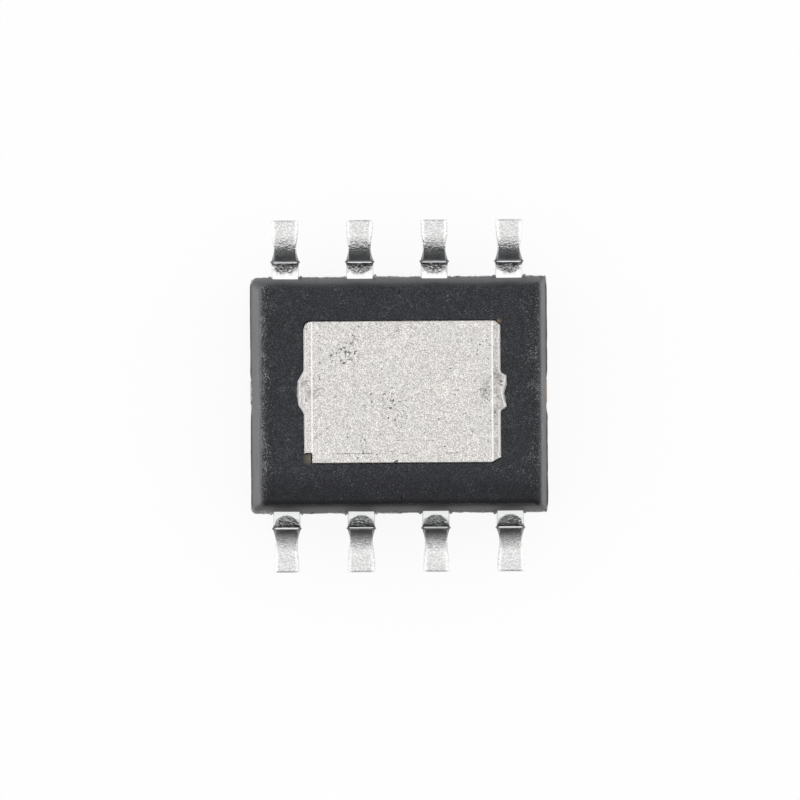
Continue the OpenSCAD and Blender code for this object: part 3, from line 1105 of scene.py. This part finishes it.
def heel_painted_shading(tree, row, reach, blotches):
    """Colour of a pressed heel: blotches of painted shade and highlight, lighter on the back row, and painted
    shadow by the ledge.
    """
    tone = blend_colour(tree, blotches, heel_painted_shade, blend_colour(tree, row, *heel_painted_lights))
    by_ledge = ramp(tree, reach, heel_y - 0.07, heel_y - 0.02)
    shadowed = product(tree, by_ledge, by_row(tree, row, 0.75, 0.35))
    return blend_colour(tree, shadowed, tone, ledge_shadow)


def ear_and_side_shade_mask(tree, x, reach, height, side_on):
    """Mask of painted shade on the ears beside a ledge and on the riser's sides."""
    off_middle = maths(tree, "SUBTRACT", lead_pitch / 2, maths(tree, "PINGPONG", x, lead_pitch / 2))
    beside = ramp(tree, off_middle, lead_w / 2 - 0.045, lead_w / 2 - 0.015)
    ears = product(tree, beside, ramp(tree, height, shoulder_top_z + 0.12, shoulder_top_z + 0.25, 1, 0))
    sides = product(tree, ramp(tree, side_on, 0.1, 0.4), ramp(tree, height, *edge_z, 1, 0))
    past_heel = ramp(tree, reach, heel_y - 0.06, heel_y - 0.02)
    return product(tree, maths(tree, "MAXIMUM", ears, sides), past_heel)


def outer_side(tree, y, out_y, height):
    """Mask of the side of a lead that faces away from the body, below its foot."""
    away = product(tree, out_y, maths(tree, "SIGN", y))
    return product(tree, ramp(tree, away, 0.1, 0.5), ramp(tree, height, *outer_side_z, 1, 0))


def drawn_finish(tree, place):
    """Colour of that side, streaked along the lead by forming."""
    streaks = ramp(tree, noise_at(tree, stretched(tree, place, (1, 1, 0.12)), 26, 3, 0.6), 0.35, 0.7)
    return blend_colour(tree, streaks, streak_dark, streak_light)


def shoulder_smudge(tree, place, y, height):
    """Mask of the soil on the tops of the back row's shoulders."""
    on_top = between(tree, height, shoulder_top_z - 0.01, shoulder_top_z + 0.002, 0.002)
    patches = ramp(tree, noise_at(tree, place, 14, 2, 0.6), 0.5, 0.62)
    return product(tree, on_top, ramp(tree, y, *smudge_y, 0, 0.45), patches)


@once
def tinned_lead():
    """Tin plate on the leads, smooth up the riser and grainy on the foot; painted light and shade by row, in
    blotches on the heel, on the ears and sides, and at the foot's edges.
    """
    material, tree, shader = new_material("tinned_lead")
    place = millimetres(tree)
    x, y, height = parts_of(tree, place)
    out_x, out_y, _ = facing(tree)
    reach = size_of(tree, y)
    side_on = size_of(tree, out_x)
    row = ramp(tree, y, -1, 1)
    worn = ramp(tree, height, *worn_z)
    bent = product(tree, ramp(tree, height, *bend_z), ramp(tree, height, *bend_top_z, 1, 0))
    heel = heel_mask(tree, reach, height)
    grain, _ = speckled(tree, place, lead_grains)
    blotches = ramp(tree, noise_at(tree, place, 18, 2, 0.6), 0.38, 0.6)
    foot = blend_colour(tree, grain, foot_dark, foot_light)
    # shoulders and risers take lit and shaded tones by row: painted light and shade
    tone = layered(tree, blend_colour(tree, row, *shoulder_painted_light_colours), [
        (ramp(tree, height, ledge_z + 0.01, ledge_z + 0.06), blend_colour(tree, row, *riser_painted_light_colours)),
        # feet: grain, with painted highlight where their rolled sides face sideways
        (worn, blend_colour(tree, ramp(tree, side_on, 0.2, 0.6), foot, foot_edge_painted_highlight)),
        (outer_side(tree, y, out_y, height), drawn_finish(tree, place)),
        (shoulder_smudge(tree, place, y, height), lead_smudge),
        (heel, heel_painted_shading(tree, row, reach, blotches)),
        # painted shade on the ears and on the sideways-facing riser sides
        (ear_and_side_shade_mask(tree, x, reach, height, side_on), lead_ear_painted_shade),
    ])
    tree.links.new(tone, shader.inputs["Base Color"])

    dulled = product(tree, bent, by_row(tree, row, 0.22, 0))
    tree.links.new(maths(tree, "ADD", ramp(tree, worn, 0, 1, 0.3, 0.4), dulled), shader.inputs["Roughness"])
    shader.inputs["Metallic"].default_value = 1
    rough_foot = blend(tree, row, worn, ramp(tree, height, *rough_foot_z))
    relief = maths(tree, "MULTIPLY_ADD", rough_foot, 0.7, product(tree, heel, 0.6))
    relief = maths(tree, "ADD", product(tree, bent, by_row(tree, row, 1.0, 0.2)), relief)
    waves = product(tree, bent, by_row(tree, row, 1.1, 2), blotches)
    use_bump(tree, shader, maths(tree, "MULTIPLY_ADD", grain, relief, waves), 0.006)
    return material


@once
def sheared_copper():
    """Tarnished copper where the frame was cut off."""
    material, tree, shader = new_material("sheared_copper")
    drag, _ = speckled(tree, millimetres(tree), copper_grains)
    tree.links.new(blend_colour(tree, drag, copper_dark, copper_light), shader.inputs["Base Color"])
    shader.inputs["Metallic"].default_value = 1
    shader.inputs["Roughness"].default_value = 0.5
    use_bump(tree, shader, drag, 0.004)
    return material


# Inner pieces

def inner_finish(name, dark, light, grain, metallic, roughness):
    """Finish of a piece inside the body, mottled between two colours."""
    material, tree, shader = new_material(name)
    mottle, _ = speckled(tree, millimetres(tree), grain)
    tree.links.new(blend_colour(tree, mottle, dark, light), shader.inputs["Base Color"])
    tree.links.new(ramp(tree, mottle, 0, 1, roughness, roughness + 0.1), shader.inputs["Roughness"])
    shader.inputs["Metallic"].default_value = metallic
    use_bump(tree, shader, mottle, 0.001)
    return material


def dress_inner_pieces():
    """Finishes for the solids that stay as they are inside the body."""
    finishes = {
        "die_attach": inner_finish("die_cement", (0.35, 0.35, 0.36, 1), (0.5, 0.5, 0.5, 1), 30, 0.4, 0.5),
        "silicon_die": inner_finish("silicon", (0.1, 0.11, 0.15, 1), (0.16, 0.17, 0.22, 1), 12, 0.6, 0.15),
        "bond_wire": inner_finish("copper_wire", (0.7, 0.36, 0.2, 1), (0.85, 0.48, 0.3, 1), 25, 1, 0.25),
    }
    for name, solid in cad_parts.items():
        for start, finish in finishes.items():
            if name.startswith(start):
                solid.data.materials.clear()
                solid.data.materials.append(finish)


# Stage

def white_floor():
    """Pale floor that the camera and reflections see as near white, with the object's shadow on it."""
    bm = bmesh.new()
    bmesh.ops.create_grid(bm, x_segments=1, y_segments=1, size=floor_half * MM)
    bmesh.ops.translate(bm, vec=(0, 0, (marking_face_z - floor_drop) * MM), verts=bm.verts)
    mesh = bpy.data.meshes.new("floor")
    bm.to_mesh(mesh)
    bm.free()
    floor = bpy.data.objects.new("floor", mesh)
    bpy.context.scene.collection.objects.link(floor)
    material, tree, shader = new_material("white_paper")
    shader.inputs["Base Color"].default_value = (0.95, 0.95, 0.95, 1)
    shader.inputs["Roughness"].default_value = 0.9
    shader.inputs["Specular IOR Level"].default_value = 0
    rays = put(tree, "ShaderNodeLightPath").outputs
    seen = maths(tree, "MULTIPLY", rays["Is Camera Ray"], floor_white_seen)
    bounced = maths(tree, "ADD", rays["Is Glossy Ray"], rays["Is Transmission Ray"])
    share = maths(tree, "ADD", seen, maths(tree, "MULTIPLY", bounced, floor_white_mirrored))
    glow = put(tree, "ShaderNodeEmission", {"Color": (1, 1, 1, 1), "Strength": 1})
    mixed = put(tree, "ShaderNodeMixShader", {0: share, 1: shader.outputs[0], 2: glow.outputs[0]})
    tree.links.new(mixed.outputs[0], tree.nodes["Material Output"].inputs["Surface"])
    mesh.materials.append(material)


def studio():
    """Soft dome, brightest overhead and at its ends, dimmer in front than behind, white to the camera."""
    world = bpy.data.worlds.new("studio")
    world.use_nodes = True
    tree = world.node_tree
    toward = put(tree, "ShaderNodeTexCoord").outputs["Generated"]
    x, y, _ = parts_of(tree, toward)
    upward = (0, math.sin(overhead_lean), math.cos(overhead_lean))
    high = put(tree, "ShaderNodeVectorMath", {0: toward, 1: upward}, operation="DOT_PRODUCT").outputs["Value"]
    overhead = maths(tree, "POWER", maths(tree, "MAXIMUM", high, 0), overhead_focus)
    level = ramp(tree, overhead, 0, 1, round_light, overhead_light)
    level = maths(tree, "MULTIPLY_ADD", y, back_light, level)
    level = maths(tree, "MULTIPLY_ADD", maths(tree, "MULTIPLY", x, x), end_light, level)
    seen = put(tree, "ShaderNodeLightPath").outputs["Is Camera Ray"]
    tree.links.new(maths(tree, "MAXIMUM", level, seen), tree.nodes["Background"].inputs["Strength"])
    tree.nodes["Background"].inputs["Color"].default_value = (1, 1, 1, 1)
    bpy.context.scene.world = world


def look_down():
    """Camera of the photograph: straight above and far off, a little rolled."""
    lens = bpy.data.cameras.new("camera")
    lens.lens = lens_length
    lens.sensor_width = sensor
    lens.clip_start, lens.clip_end = camera_range
    pixel = MM / pixels_per_mm
    back = Vector((0, 0, 1))
    facing = Quaternion(back, camera_roll)
    across = facing @ Vector((1, 0, 0))
    upward = facing @ Vector((0, 1, 0))
    off_middle = (picture / 2 - middle_pixel[0], middle_pixel[1] - picture / 2)
    aim = back * parting_z * MM + (across * off_middle[0] + upward * off_middle[1]) * pixel
    camera = bpy.data.objects.new("camera", lens)
    camera.location = aim + back * picture * pixel * lens_length / sensor
    camera.rotation_mode = "QUATERNION"
    camera.rotation_quaternion = facing
    bpy.context.scene.collection.objects.link(camera)
    bpy.context.scene.camera = camera


bpy.context.scene.view_settings.view_transform = "Standard"
look_down()
studio()
white_floor()
moulded_body()
coined_pad()
for number in range(1, lead_count + 1):
    formed_lead(number)
dress_inner_pieces()
